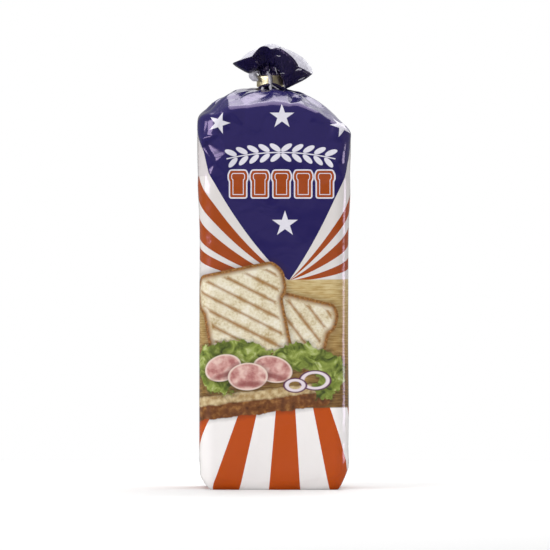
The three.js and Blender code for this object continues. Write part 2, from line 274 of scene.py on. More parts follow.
def outline(t):
    """Point and outward direction on the rounded rectangle, at t turns of its perimeter."""
    flat_x = FACE_WIDTH / 2 - CORNER_RADIUS
    flat_y = SIDE_DEPTH / 2 - CORNER_RADIUS
    arc = math.pi / 2 * CORNER_RADIUS
    quarter = flat_x + arc + flat_y
    s = (t % 1) * PERIMETER
    spin = np.where(s > 2 * quarter, -1, 1)
    s = np.where(spin < 0, s - 2 * quarter, s)
    mirror = np.where(s > quarter, -1, 1)
    s = np.where(mirror < 0, 2 * quarter - s, s)
    angle = np.clip((s - flat_x) / CORNER_RADIUS, 0, math.pi / 2)
    x = np.minimum(s, flat_x) + CORNER_RADIUS * np.sin(angle)
    y = -flat_y - CORNER_RADIUS * np.cos(angle) + np.maximum(0, s - flat_x - arc)
    return spin * x, spin * mirror * y, spin * np.sin(angle), -spin * mirror * np.cos(angle)


def lens(t, half_width, half_depth):
    """The flat lens that the neck and the clip have in section."""
    c = np.cos(TURN * t)
    return NECK_CENTRE_X + half_width * np.sin(TURN * t), -half_depth * c * np.abs(c)


def gusset_fold(y, nx, z):
    """How deep the bottom gusset's fold is in a side wall: a triangle that narrows upwards."""
    left = np.clip(1 - z / GUSSET_HEIGHT, 1e-6, 1)
    across = np.abs(y) / (SIDE_DEPTH / 2 - CORNER_RADIUS)
    return GUSSET_DEPTH * nx * nx * np.maximum(0, 1 - across / left) * np.sqrt(left) * (z < GUSSET_HEIGHT)


def body_point(t, z):
    x, y, nx, ny = outline(t)
    out = TOP_SLACK * smoothstep(z, SLACK_FROM, SLACK_FULL) - gusset_fold(y, nx, z)
    return np.stack([x + nx * out, y + ny * out, z + 0 * x], -1)


def base_point(t, k):
    angle = k * math.pi / 2
    x, y, nx, ny = outline(t)
    inset = round_value(BASE_INSET, t) * (1 - np.sin(angle) ** BASE_CHAMFER)
    rise = round_value(BASE_RISE, t) * (1 - np.maximum(0, np.cos(angle)) ** BASE_CHAMFER)
    return body_point(t, rise) - np.stack([nx * inset, ny * inset, 0 * x], -1)


def wall_point(t, k):
    top = round_value(SHOULDER_HEIGHTS, t) - SHOULDER_ROUND
    return body_point(t, lerp(round_value(BASE_RISE, t), top, k))


def slope_point(t, w):
    edge = round_value(SHOULDER_HEIGHTS, t)
    p = body_point(t, edge)
    nx, ny = lens(t, NECK_HALF_WIDTH, NECK_HALF_DEPTH)
    rise = lerp(w, np.sin(w * math.pi / 2), round_value(SHOULDER_BELLY, t))
    flare = round_value(NECK_FLARE, t)
    z = lerp(edge, NECK_BOTTOM - flare, rise) + flare * w ** FLARE_POWER
    return np.stack([lerp(p[..., 0], nx, w), lerp(p[..., 1], ny, w), z], -1)


def round_share(t):
    p = body_point(t, round_value(SHOULDER_HEIGHTS, t))
    nx, ny = lens(t, NECK_HALF_WIDTH, NECK_HALF_DEPTH)
    return SHOULDER_ROUND / np.hypot(p[..., 0] - nx, p[..., 1] - ny)


def round_point(t, k):
    edge = round_value(SHOULDER_HEIGHTS, t)
    below, corner = body_point(t, edge - SHOULDER_ROUND), body_point(t, edge)
    over = slope_point(t, round_share(t))
    k = k[..., None]
    return lerp(lerp(below, corner, k), lerp(corner, over, k), k)


def neck_point(t, k):
    x, y = lens(t, NECK_HALF_WIDTH, NECK_HALF_DEPTH)
    return np.stack([x, y, lerp(NECK_BOTTOM, NECK_TOP, k)], -1)


def tail_point(t, s):
    """Out over the clip, down where the film droops, and up to the rim."""
    nx, ny = lens(t, NECK_HALF_WIDTH, NECK_HALF_DEPTH)
    out_x, out_y = np.sin(TURN * t), -np.cos(TURN * t)
    petal = arch_between(PETAL_CREASES, t * 360, 360) ** PETAL_ROUNDNESS
    spread = round_value(TAIL_SPREAD, t)
    elbow = round_value(ELBOW_REACH, t)
    reach = round_value(RIM_REACH, t) * lerp(1 - PETAL_PINCH, 1, petal)
    xs = nx, nx + spread * out_x, NECK_CENTRE_X + elbow * out_x, NECK_CENTRE_X + reach * out_x
    ys = ny, ny + spread * out_y, elbow * out_y, reach * out_y
    zs = NECK_TOP, NECK_TOP + TAIL_RISE, round_value(ELBOW_HEIGHTS, t), round_value(RIM_HEIGHTS, t)
    shares = (1 - s) ** 3, 3 * s * (1 - s) ** 2, 3 * s * s * (1 - s), s ** 3
    return np.stack([sum(share * c for share, c in zip(shares, axis)) for axis in (xs, ys, zs)], -1)


# Folds and creases of the film


def crease_field(corners, u, v):
    """Height at (u, v) of a sheet pulled flat between corners: facets that meet in straight creases."""
    places, _, faces, origins, _, _ = delaunay_2d_cdt([Vector(c[:2]) for c in corners], [], [], 0, 1e-6)
    tops = [(place.x, place.y, corners[origin[0]][2]) for place, origin in zip(places, origins)]
    sheet = BVHTree.FromPolygons(tops, faces)
    above, down = 50, (0, 0, -1)
    hits = [sheet.ray_cast((a, b, above), down)[0] for a, b in zip(u.ravel(), v.ravel())]
    return np.array([hit.z if hit else 0.0 for hit in hits]).reshape(u.shape)


def scattered_corners(seed, width, *bands):
    """Corners on shaken grids, one for each band, with random heights."""
    rng = np.random.default_rng(seed)
    corners = []
    for low, high, step_u, step_v, height in bands:
        columns = round(width / step_u)
        for j, v in enumerate(np.arange(low, high, step_v)):
            for i in range(columns):
                shake_u, shake_v = rng.uniform(-CORNER_SHAKE, CORNER_SHAKE, 2)
                u = (i + 0.5 * (j % 2) + shake_u) * width / columns - width / 2
                corners.append((u, v + shake_v * step_v, rng.uniform(-height, height)))
    return corners


def closed_round(corners, width):
    """The same corners once more on each side, so that the facets meet where the film closes."""
    return [(u + shift, v, out) for shift in (-width, 0, width) for u, v, out in corners]


def film_facets(u, v):
    corners = scattered_corners(FILM_SEED, PERIMETER, *FILM_BANDS)
    corners = [c for c in corners if abs(c[0]) > FRONT_REACH or not FRONT_FOOT < c[1] < FRONT_TOP]
    return crease_field(closed_round(corners + FRONT_FACETS, PERIMETER), u, v)


def foot_relief(u, v, z):
    """Facets of the crumpled foot, flat on the floor and gone further up."""
    corners = scattered_corners(FOOT_SEED, PERIMETER, FOOT_BAND)
    facets = crease_field(closed_round(corners, PERIMETER), u, v)
    return facets * (1 - smoothstep(z, FOOT_FADES, FOOT_GONE)) * smoothstep(z, 0, FOOT_FULL)


def tail_facets(t, s):
    """Long facets that run out to the rim."""
    corners = closed_round(scattered_corners(TAIL_SEED, 10, TAIL_BAND), 10)
    return crease_field(corners, t * 10, s * 5)


def sharp_wave(x):
    """A wave with straight flanks and sharp creases, nearly from -1 to 1."""
    return 2 / math.pi * np.arcsin(np.sin(TURN * x) * 0.995)


def wall_relief(t, z):
    folds = arch_between(SHOULDER_CREASES, t * PERIMETER, PERIMETER) - ARCH_MEAN
    return WALL_FOLD * folds * smoothstep(z, WALL_FOLD_FOOT, round_value(SHOULDER_HEIGHTS, t))


def slope_relief(t, w):
    """Bulges between creases, highest half-way up and on the sides."""
    broad = SHOULDER_BULGE * arch_between(SHOULDER_CREASES, t * PERIMETER, PERIMETER) - CREASE_PINCH
    steep = np.abs(outline(t)[2])
    return broad * np.sin(np.pi * np.clip(w, 0, 1)) ** 0.8 * lerp(CALM_FRONT, 1, steep)


def pleats(t):
    """Uneven pleats round the neck: 1 where they stand out and -1 where they go in."""
    jitter = 0.25 * np.sin(TURN * t * 3 + 1) + 0.2 * np.sin(TURN * t * 7)
    return 0.7 * sharp_wave(t * PLEATS + jitter) + 0.3 * np.cos(TURN * t * 37)


def slope_pleats(t, w):
    """Pleats from the neck down over the slope, each with its own length."""
    reach = round_value(np.random.default_rng(5).uniform(SHORTEST_PLEAT, LONGEST_PLEAT, PLEATS), t)
    fade = np.clip(1 - (1 - w) * FACE_WIDTH / 2 / reach, 0, 1)
    return PLEAT_DEPTH_SHOULDER * pleats(t) * fade * (1 - w ** 5)


def packed_pleats(t):
    """The same pleats pressed inwards, so that none stands out."""
    return 0.5 * (pleats(t) - 1)


def tail_relief(t, s, u):
    """Pleats that end half-way out, ridges between the petals, and long facets."""
    spread = np.sin(np.pi * np.clip(s / PLEATS_END, 0, 1)) ** 0.6
    gathers = packed_pleats(t) * (PLEAT_DEPTH_NECK * (1 - s) + PLEAT_DEPTH_TAIL * spread)
    ridges = TAIL_RIDGE * (1 - arch_between(PETAL_CREASES, t * 360, 360)) ** 5
    panels = TAIL_PANEL * (tail_facets(u / PERIMETER, s + 0 * t) - 0.5)
    return gathers + (ridges + panels) * smoothstep(s, TAIL_FREE_FROM, TAIL_FREE)


def film_grid():
    """The film's smooth surface, its zones and its share of each zone, row by row."""
    t = np.arange(AROUND) / AROUND
    blocks, zones = [], []

    def add(zone, point, shares):
        for k in shares:
            blocks.append(point(t, np.full(AROUND, k)))
            zones.append((zone, k))

    rim = base_point(t, np.zeros(AROUND))
    add("under", lambda _, k: rim * (k[:, None] * [1, 1, 0]), np.arange(1, ROWS["under"]) / ROWS["under"])
    add("base", base_point, np.arange(ROWS["base"]) / ROWS["base"])
    add("wall", wall_point, np.linspace(0, CALM_SHARE, ROWS["calm wall"], endpoint=False))
    add("wall", wall_point, np.linspace(CALM_SHARE, 1, ROWS["wall"], endpoint=False))
    add("round", round_point, np.arange(ROWS["round"]) / ROWS["round"])
    share = round_share(t)
    add("slope", lambda t, k: slope_point(t, lerp(share, 1, k)), np.arange(ROWS["slope"]) / ROWS["slope"])
    add("neck", neck_point, np.arange(ROWS["neck"]) / ROWS["neck"])
    add("tail", tail_point, np.arange(ROWS["tail"] + 1) / ROWS["tail"])
    return t, np.stack(blocks), zones


def grid_normals(p):
    """Outward normals of a closed grid, from its neighbours round and up."""
    along = np.roll(p, -1, 1) - np.roll(p, 1, 1)
    up = np.gradient(p, axis=0)
    n = np.cross(along, up)
    return n / np.maximum(np.linalg.norm(n, axis=-1, keepdims=True), 1e-9)


def film_lengths(p, first_wall_row):
    """Length along the film up each column, 0 at the floor so that it equals height on the walls."""
    steps = np.linalg.norm(np.diff(p, axis=0), axis=-1)
    v = np.concatenate([np.zeros((1, p.shape[1])), np.cumsum(steps, 0)])
    return v - v[first_wall_row] + p[first_wall_row, :, 2]


def film_distance(t):
    """Distance along the film from the middle of the front, negative on the left half."""
    return np.where(t > 0.5, t - 1, t) * PERIMETER


def film_relief(t, v, p, zones):
    """How far each point of the film stands out from the smooth surface."""
    names = np.array([zone for zone, _ in zones])
    share = np.array([k for _, k in zones])[:, None]
    wall, over, slope, neck, tail = (names == zone for zone in ("wall", "round", "slope", "neck", "tail"))
    u = np.broadcast_to(film_distance(t), v.shape)
    z = p[..., 2]
    relief = np.zeros(v.shape)

    relief[wall] = wall_relief(t, z[wall])
    first = round_share(t)
    top = wall_point(t, np.ones(AROUND))[:, 2]
    relief[over] = lerp(wall_relief(t, top), slope_relief(t, first), share[over])
    w = lerp(first, 1, share[slope])
    relief[slope] = slope_relief(t, w) + slope_pleats(t, w)
    relief[neck] = PLEAT_DEPTH_NECK * packed_pleats(t)
    relief[tail] = tail_relief(t, share[tail], u[tail])

    loose = ~tail & ~neck & (names != "under")
    held = np.ones(v.shape)
    held[slope] = 1 - smoothstep(w, FACETS_FADE, 1)
    relief[loose] += film_facets(u[loose], v[loose]) * held[loose]
    low = loose & (z.max(1) < FOOT_TOP)
    relief[low] += foot_relief(u[low], v[low], z[low])
    return relief


def ring_faces(rings, count, first=0):
    """Quads between rings of count points, with no caps."""
    faces = []
    for j in range(rings - 1):
        low, high = first + j * count, first + (j + 1) * count
        faces += [(low + i, low + (i + 1) % count, high + (i + 1) % count, high + i) for i in range(count)]
    return faces


def add_object(name, data):
    obj = bpy.data.objects.new(name, data)
    bpy.context.scene.collection.objects.link(obj)
    return obj


def mesh_object(name, points, faces, materials, loop_uvs=None):
    """A smooth mesh at the origin, from millimetre points and one (u, v) for each face corner."""
    mesh = bpy.data.meshes.new(name)
    mesh.from_pydata((np.asarray(points, float) * MM).tolist(), [], faces)
    if loop_uvs is not None:
        mesh.uv_layers.new(name="film").data.foreach_set("uv", np.asarray(loop_uvs, np.float32).ravel())
    mesh.polygons.foreach_set("use_smooth", [True] * len(mesh.polygons))
    mesh.update()
    for material in materials:
        mesh.materials.append(material)
    return add_object(name, mesh)


def film_faces(rows):
    """Quads between the film's rings, then triangles to the base's middle and to the neck's."""
    last, base_middle, neck_middle = (rows - 1) * AROUND, rows * AROUND, rows * AROUND + 1
    bottom = [(base_middle, (i + 1) % AROUND, i) for i in range(AROUND)]
    top = [(last + i, last + (i + 1) % AROUND, neck_middle) for i in range(AROUND)]
    return ring_faces(rows, AROUND) + bottom + top


def film_uvs(t, v):
    """Film distance and film height for each corner of those faces."""
    u = film_distance(t)
    us = np.stack([u, u + FILM_STEP, u + FILM_STEP, u], -1)
    following = np.roll(v, -1, 1)
    vs = np.stack([v[:-1], following[:-1], following[1:], v[1:]], -1)
    quads = np.stack([np.broadcast_to(us, vs.shape), vs], -1).reshape(-1, 2)
    middle = v[0] - BASE_MIDDLE_BELOW
    caps = [[(u[i], middle[i]), (u[i] + FILM_STEP, v[0, i]), (u[i], v[0, i])] for i in range(AROUND)]
    caps += [[(u[i], v[-1, i])] * 3 for i in range(AROUND)]
    return np.concatenate([quads, np.array(caps).reshape(-1, 2)])


def make_film_bag(film, inner_film):
    """The whole film: under the base, up the walls, over the shoulder, and the tail's two sides."""
    t, smooth, zones = film_grid()
    first_wall = next(j for j, (zone, _) in enumerate(zones) if zone == "wall")
    v = film_lengths(smooth, first_wall)
    outer = smooth + grid_normals(smooth) * film_relief(t, v, smooth, zones)[..., None]
    under = [j for j, (zone, k) in enumerate(zones) if zone == "under" or (zone == "base" and k == 0)]
    outer[under, :, 2] = 0
    tail = [j for j, (zone, _) in enumerate(zones) if zone == "tail"][2:]
    inner = (outer - grid_normals(outer) * FILM_THICKNESS)[tail][::-1]
    grid = np.concatenate([outer, inner])
    v = np.concatenate([v, v[tail][::-1]])
    rows = len(grid)
    points = np.concatenate([grid.reshape(-1, 3), [[0, 0, 0]], [grid[-1].mean(0)]])
    bag = mesh_object("film_bag", points, film_faces(rows), (film, inner_film), film_uvs(t, v))
    bare = np.zeros(len(bag.data.polygons), int)
    bare[(len(outer) - 1) * AROUND:(rows - 1) * AROUND] = 1
    bare[-AROUND:] = 1
    bag.data.polygons.foreach_set("material_index", bare)
    return bag


def laid_on(surface, crease):
    """Points along a crease of the tail or a pale sliver painted there as a glint, each moved back onto the
    front of the film.
    """
    points = []
    for x, z, half in crease:
        front = surface.ray_cast((x * MM, -SIDE_DEPTH * MM, z * MM), (0, 1, 0))[0]
        points.append((x, front.y / MM - FOLD_STANDS_OUT, z, half))
    return points


def fold_points(ridge):
    """Rings round a closed sliver along a ridge, with its crest in front and a flat back."""
    ridge = np.array(ridge, float)
    place = np.linspace(0, len(ridge) - 1, FOLD_STEPS)
    path = np.stack([np.interp(place, range(len(ridge)), ridge[:, k]) for k in range(4)], -1)
    path[1:-1] = 0.25 * path[:-2] + 0.5 * path[1:-1] + 0.25 * path[2:]
    run = np.gradient(path[:, :3], axis=0)
    side = np.stack([run[:, 2], 0 * run[:, 0], -run[:, 0]], -1)
    side /= np.maximum(np.linalg.norm(side, axis=-1, keepdims=True), 1e-6)
    spin = TURN * np.arange(FOLD_CORNERS) / FOLD_CORNERS
    across, front = np.sin(spin), np.cos(spin) > 0
    points = []
    for (x, y, z, half), aside in zip(path, side):
        steep = FOLD_STEEPNESS * half
        depth = np.where(front, steep * np.abs(across) ** FOLD_ROUNDNESS, steep + FOLD_BACK)
        ring = np.array([x, y, z]) + half * across[:, None] * aside + depth[:, None] * [0, 1, 0]
        points += ring.tolist()
    return points


def make_clip_folds_and_glints(bag, film, inner_film):
    """Ridges of the gathered film over the clip, creases on the tail and pale slivers that are painted
    glints, with either side out.
    """
    corners = [vertex.co for vertex in bag.data.vertices]
    surface = BVHTree.FromPolygons(corners, [face.vertices[:] for face in bag.data.polygons])
    tail_folds_and_glints = [(side, laid_on(surface, crease)) for side, crease in TAIL_FOLDS_AND_GLINTS]
    points, faces, sides_out = [], [], []
    for side_out, ridge in CLIP_FOLDS_AND_GLINTS + tail_folds_and_glints:
        first = len(points)
        points += fold_points(ridge)
        end = len(points)
        faces += [face[::-1] for face in ring_faces(FOLD_STEPS, FOLD_CORNERS, first)]
        faces += [range(first, first + FOLD_CORNERS), range(end - 1, end - FOLD_CORNERS - 1, -1)]
        sides_out += [int(side_out == "bare")] * (len(faces) - len(sides_out))
    faces = [tuple(face) for face in faces]
    uvs = [(points[i][0], points[i][2] + NECK_FILM_EXTRA) for face in faces for i in face]
    folds = mesh_object("clip_folds_and_glints", points, faces, (film, inner_film), uvs)
    folds.data.polygons.foreach_set("material_index", sides_out)
    return folds


def make_clip_band(foil):
    """The foil strip pressed shut round the neck: rounded edges and a lightly crumpled face."""
    around, rows, length = 180, 14, 60
    t = np.arange(around) / around
    rise = np.linspace(-1, 1, rows)
    edge = 0.5 * CLIP_WALL * np.sqrt(np.clip(1 - np.abs(rise) ** 8, 0, 1))
    outward = np.concatenate([edge, -edge[::-1]])
    height = np.concatenate([rise, rise[::-1]])
    corners = closed_round(scattered_corners(CLIP_SEED, length, CLIP_BAND), length)
    u, v = np.meshgrid((t - 0.5) * length, 0.5 * CLIP_HEIGHT * height)
    dents = crease_field(corners, u, v) * (outward[:, None] > 0)
    middle_w, middle_d = CLIP_HALF_WIDTH - 0.5 * CLIP_WALL, CLIP_HALF_DEPTH - 0.5 * CLIP_WALL
    out = outward[:, None] + np.clip(dents, *CLIP_DENTS)
    x, y = lens(t, middle_w + out, middle_d + out)
    z = CLIP_BOTTOM + 0.5 * CLIP_HEIGHT * (1 + height[:, None]) + 0 * x
    grid = np.stack([x, y, z], -1)
    count = len(grid)
    faces = [[index % (count * around) for index in face] for face in ring_faces(count + 1, around)]
    return mesh_object("clip_band", grid.reshape(-1, 3), faces, (foil,))


# Materials


def srgb(code):
    """An sRGB hex colour as the linear values that shaders read."""
    channels = [int(code[k:k + 2], 16) / 255 for k in (1, 3, 5)]
    return tuple(c / 12.92 if c <= 0.04045 else ((c + 0.055) / 1.055) ** 2.4 for c in channels) + (1.0,)


def put(tree, kind, *inputs, at=None, output=0, **settings):
    """Adds a node, sets it up, links or fills its inputs in order, and returns one output.

    A kind in capitals is a math node that does this operation.
    """
    if kind.isupper():
        kind, settings = "ShaderNodeMath", {"operation": kind}
    node = tree.nodes.new(kind)
    for name, value in settings.items():
        setattr(node, name, value)
    given = dict(enumerate(inputs)) | (at or {})
    for key, value in given.items():
        if isinstance(value, bpy.types.NodeSocket):
            tree.links.new(value, node.inputs[key])
        elif value is not None:
            node.inputs[key].default_value = value
    return node.outputs[output]


VECTOR = "ShaderNodeVectorMath"
MIX = "ShaderNodeMix"
MAPPING = "ShaderNodeMapping"
NOISE = "ShaderNodeTexNoise"
RANGE = "ShaderNodeMapRange"
SPLIT = "ShaderNodeSeparateXYZ"
JOIN = "ShaderNodeCombineXYZ"
INK_EDGE = 0.12  # half the width of its blur, in millimetres


def ink(tree, below, colour, distance, edge=INK_EDGE, cover=1.0):
    """Prints a colour wherever the distance to its shape is negative."""
    inside = put(tree, RANGE, distance, edge, -edge, 0.0, cover)
    return put(tree, MIX, inside, at={6: below, 7: colour}, data_type="RGBA", output=2)


def rounded_box(tree, xy, centre, half_size, radius, turn=0.0):
    """Distance to a rounded box, negative inside."""
    local = put(tree, MAPPING, xy, (*centre, 0.0), (0, 0, turn), vector_type="TEXTURE")
    core = (half_size[0] - radius, half_size[1] - radius, 0.0)
    folded = put(tree, VECTOR, local, operation="ABSOLUTE")
    past = put(tree, VECTOR, folded, core, operation="SUBTRACT")
    outside = put(tree, VECTOR, past, (0, 0, 0), operation="MAXIMUM")
    reach = put(tree, VECTOR, outside, operation="LENGTH", output=1)
    sides = put(tree, SPLIT, past).node.outputs
    nearest = put(tree, "MAXIMUM", sides[0], sides[1])
    depth = put(tree, "MINIMUM", nearest, 0.0)
    return put(tree, "SUBTRACT", put(tree, "ADD", reach, depth), radius)


def oval(tree, xy, centre, half_size, turn=0.0):
    """Roughly the distance to an oval, negative inside."""
    unit = put(tree, MAPPING, xy, (*centre, 0.0), (0, 0, turn), (*half_size, 1.0), vector_type="TEXTURE")
    reach = put(tree, VECTOR, unit, operation="LENGTH", output=1)
    least = min(half_size)
    return put(tree, "MULTIPLY_ADD", reach, least, -least)


def toast_slice(tree, xy, centre, half_size, turn=0.0):
    """Distance to a slice of tin bread, negative inside: a square with a wider, rounded crown."""
    width, height = half_size
    up = 0.56 * height
    crown_centre = centre[0] - up * math.sin(turn), centre[1] + up * math.cos(turn)
    crumb = rounded_box(tree, xy, centre, (0.86 * width, height), 0.14 * width, turn)
    crown = rounded_box(tree, xy, crown_centre, (width, 0.44 * height), 0.36 * height, turn)
    return put(tree, "SMOOTH_MIN", crumb, crown, 0.12 * width)


def angle_and_reach(tree, xy, centre, turn=0.0):
    """Clockwise angle from straight up, and distance, both as seen from a centre."""
    local = put(tree, MAPPING, xy, (*centre, 0.0), (0, 0, turn), vector_type="TEXTURE")
    parts = put(tree, SPLIT, local).node.outputs
    angle = put(tree, "ARCTAN2", parts[0], parts[1])
    return angle, put(tree, VECTOR, local, operation="LENGTH", output=1)


def stripe(tree, value, middle, half_width):
    """Distance to the stripe where a value is near its middle one, negative inside."""
    past = put(tree, "SUBTRACT", value, middle)
    past = put(tree, "ABSOLUTE", past)
    return put(tree, "SUBTRACT", past, half_width)


def star(tree, xy, centre, radius, turn):
    """Distance to a five-pointed star with one point up, negative inside."""
    angle, reach = angle_and_reach(tree, xy, centre, turn)
    folded = put(tree, "PINGPONG", angle, math.pi / 5)
    across = put(tree, "MULTIPLY", reach, put(tree, "SINE", folded))
    up = put(tree, "MULTIPLY", reach, put(tree, "COSINE", folded))
    notch = 0.382 * radius
    edge = Vector((notch * math.sin(math.pi / 5), notch * math.cos(math.pi / 5) - radius))
    side = Vector((-edge.y, edge.x)).normalized()
    scaled = put(tree, "MULTIPLY_ADD", across, side.x, -side.y * radius)
    return put(tree, "MULTIPLY_ADD", up, side.y, scaled)


def ramp(tree, share, stops, interpolation="LINEAR"):
    """Ink colours by a share from 0 to 1, from pairs of a place and the code that belongs there."""
    node = put(tree, "ShaderNodeValToRGB", share).node
    node.color_ramp.interpolation = interpolation
    elements = node.color_ramp.elements
    elements.remove(elements[1])
    for k, (place, code) in enumerate(stops):
        stop = elements.new(place) if k else elements[0]
        stop.position = place
        stop.color = srgb(code)
    return node.outputs["Color"]


def tones(tree, value, low, high, *codes):
    """Blends evenly through ink colours as the value goes from low to high."""
    share = put(tree, RANGE, value, low, high)
    return ramp(tree, share, [(k / (len(codes) - 1), code) for k, code in enumerate(codes)])


def film_coordinates(tree):
    """Film distances in millimetres. The back carries the front's print as seen in a mirror."""
    uv = put(tree, "ShaderNodeUVMap", uv_map="film")
    parts = put(tree, SPLIT, uv).node.outputs
    shifted = put(tree, "ADD", parts[0], PERIMETER / 4)
    folded = put(tree, "PINGPONG", shifted, PERIMETER / 2)
    u = put(tree, "SUBTRACT", folded, PERIMETER / 4)
    return put(tree, JOIN, u, parts[1], 0.0)


def ray_fan(tree, xy, centre, rays, inks, bend):
    """A fan of rays out of a centre, alike above it and below it."""
    local = put(tree, MAPPING, xy, (*centre, 0.0), vector_type="TEXTURE")
    parts = put(tree, SPLIT, local).node.outputs
    height = put(tree, "ABSOLUTE", parts[1])
    angle = put(tree, "ARCTAN2", parts[0], height)
    reach = put(tree, VECTOR, local, operation="LENGTH", output=1)
    lean = put(tree, "MULTIPLY_ADD", reach, bend, 1 - bend * STRAIGHT_REACH)
    bent = put(tree, "MULTIPLY", angle, lean)
    share = put(tree, "MULTIPLY_ADD", bent, 0.5 / math.radians(90), 0.5)
    stops = []
    for k, start in enumerate(rays):
        name = "navy" if start == SHIELD_FROM else ("white", "orange")[k % 2]
        stops.append(((start + 90) / 180, inks[name]))
    return ramp(tree, share, stops, "CONSTANT")


def print_rays(tree, xy):
    """The ground of the print: a navy shield above and orange rays on white all round."""
    upper = ray_fan(tree, xy, UPPER_CENTRE, UPPER_RAYS, UPPER_INKS, RAY_BEND)
    lower = ray_fan(tree, xy, LOWER_CENTRE, LOWER_RAYS, LOWER_INKS, 0.0)
    height = put(tree, SPLIT, xy, output=1)
    above = put(tree, "GREATER_THAN", height, BOARD_CENTRE[1])
    return put(tree, MIX, above, at={6: lower, 7: upper}, data_type="RGBA", output=2)


def print_tuck_and_crown(tree, below, xy):
    """The white panel at the shield's left, printed grey as painted shade, by two leaning edges and a level
    foot, and the navy top.
    """
    parts = put(tree, SPLIT, xy).node.outputs
    distance = put(tree, "SUBTRACT", TUCK_FOOT, parts[1])
    u, v = TUCK_CORNER
    for lean in TUCK_LEANS:
        leaning = put(tree, "MULTIPLY_ADD", parts[1], -lean, v * lean - u)
        past = put(tree, "ADD", parts[0], leaning)
        distance = put(tree, "MAXIMUM", distance, past)
    # Painted shade: the tucked panel's white printed grey
    colour = ink(tree, below, srgb(TUCK_SHADE_INK), distance)
    return ink(tree, colour, srgb(INK_NAVY), put(tree, "SUBTRACT", CROWN_FOOT, parts[1]))


def print_garland(tree, below, xy):
    """Two ears of wheat that meet in the middle of an arch, with grains on both sides of the stem."""
    angle, reach = angle_and_reach(tree, xy, GARLAND_CENTRE)
    turned = put(tree, "ABSOLUTE", angle)
    along = put(tree, "MULTIPLY", turned, GARLAND_RADIUS)
    beyond = put(tree, "SUBTRACT", reach, GARLAND_RADIUS)
    aside = put(tree, "ABSOLUTE", beyond)
    step = put(tree, "WRAP", along, GRAIN_PITCH, 0.0)
    place = put(tree, JOIN, step, aside, 0.0)
    centre = 0.5 * GRAIN_PITCH, 0.8 * GRAIN_HALF_LENGTH
    grain = oval(tree, place, centre, (GRAIN_HALF_LENGTH, GRAIN_HALF_WIDTH), GRAIN_LEAN)
    stem = put(tree, "SUBTRACT", aside, 0.45)
    ear = put(tree, "MINIMUM", grain, stem)
    end = put(tree, "SUBTRACT", along, GRAINS_A_SIDE * GRAIN_PITCH)
    return ink(tree, below, srgb(INK_STAR), put(tree, "MAXIMUM", ear, end))


def print_toast_row(tree, below, xy):
    """A row of small toast slices in orange, with a white outline and a white line inside."""
    u, v = TOAST_ROW_CENTRE
    half_row = 0.5 * TOASTS * TOAST_PITCH
    parts = put(tree, SPLIT, xy).node.outputs
    start = put(tree, "SUBTRACT", parts[0], u - half_row)
    step = put(tree, "WRAP", start, TOAST_PITCH, 0.0)
    place = put(tree, JOIN, step, parts[1], 0.0)
    shape = toast_slice(tree, place, (0.5 * TOAST_PITCH, v), (TOAST_HALF_WIDTH, TOAST_HALF_HEIGHT))
    row = stripe(tree, parts[0], u, half_row - TOAST_OUTLINE)
    shape = put(tree, "MAXIMUM", shape, row)
    colour = ink(tree, below, srgb(INK_STAR), put(tree, "SUBTRACT", shape, TOAST_OUTLINE))
    colour = ink(tree, colour, srgb(UPPER_INKS["orange"]), shape)
    return ink(tree, colour, srgb(INK_STAR), stripe(tree, shape, -2.2, 0.3))


def roughened(tree, distance, noise, size):
    """The distance to the same shape with its edge moved in and out by up to half the size."""
    inner = put(tree, "SUBTRACT", distance, 0.5 * size)
    return put(tree, "MULTIPLY_ADD", noise, size, inner)


def shadow(tree, below, code, shape, reach, blur, cover):
    """A soft dark edge that reaches out of a shape, before the shape itself is printed."""
    return ink(tree, below, srgb(code), put(tree, "SUBTRACT", shape, reach), blur, cover)


def print_board(tree, below, xy):
    """A plank lit from above, with streaks of grain a few millimetres apart."""
    shape = rounded_box(tree, xy, BOARD_CENTRE, BOARD_HALF_SIZE, 4.0, BOARD_TURN)
    stretched = put(tree, VECTOR, xy, (0.02, 0.16, 0.0), operation="MULTIPLY")
    streaks = put(tree, "SUBTRACT", put(tree, NOISE, stretched, at={"Detail": 5.0}), 0.55)
    height = put(tree, SPLIT, xy, output=1)
    lit = put(tree, "MULTIPLY_ADD", height, 0.006, streaks)
    wood = tones(tree, lit, 0.3, 1.15, "#6b4f26", "#9c7c43", "#bfa46a", "#dccb9a")
    return ink(tree, below, wood, shape, 0.5)


def print_loaf_end(tree, below, xy):
    """The long low loaf under the fillings: a dark crust with a pale cut above it."""
    wave = put(tree, NOISE, xy, at={"Scale": 0.12, "Detail": 3.0})
    shape = rounded_box(tree, xy, LOAF_CENTRE, LOAF_HALF_SIZE, 7.0, LOAF_TURN)
    shape = roughened(tree, shape, wave, 5.0)
    colour = shadow(tree, below, "#2b1a0e", shape, 1.0, 3.0, 0.55)
    speckle = put(tree, NOISE, xy, at={"Scale": 0.22, "Detail": 5.0})
    crust = tones(tree, speckle, 0.25, 0.8, "#4a2c12", "#7a4c22", "#b07f42")
    colour = ink(tree, colour, crust, shape, 0.4)
    centre = LOAF_CENTRE[0], LOAF_CENTRE[1] + 6.0
    cut = rounded_box(tree, xy, centre, (LOAF_HALF_SIZE[0] - 4, 3.6), 3.0, LOAF_TURN)
    cut = roughened(tree, cut, wave, 4.0)
    return ink(tree, colour, tones(tree, speckle, 0.35, 0.65, "#a88a58", "#d9c69a"), cut, 0.8)


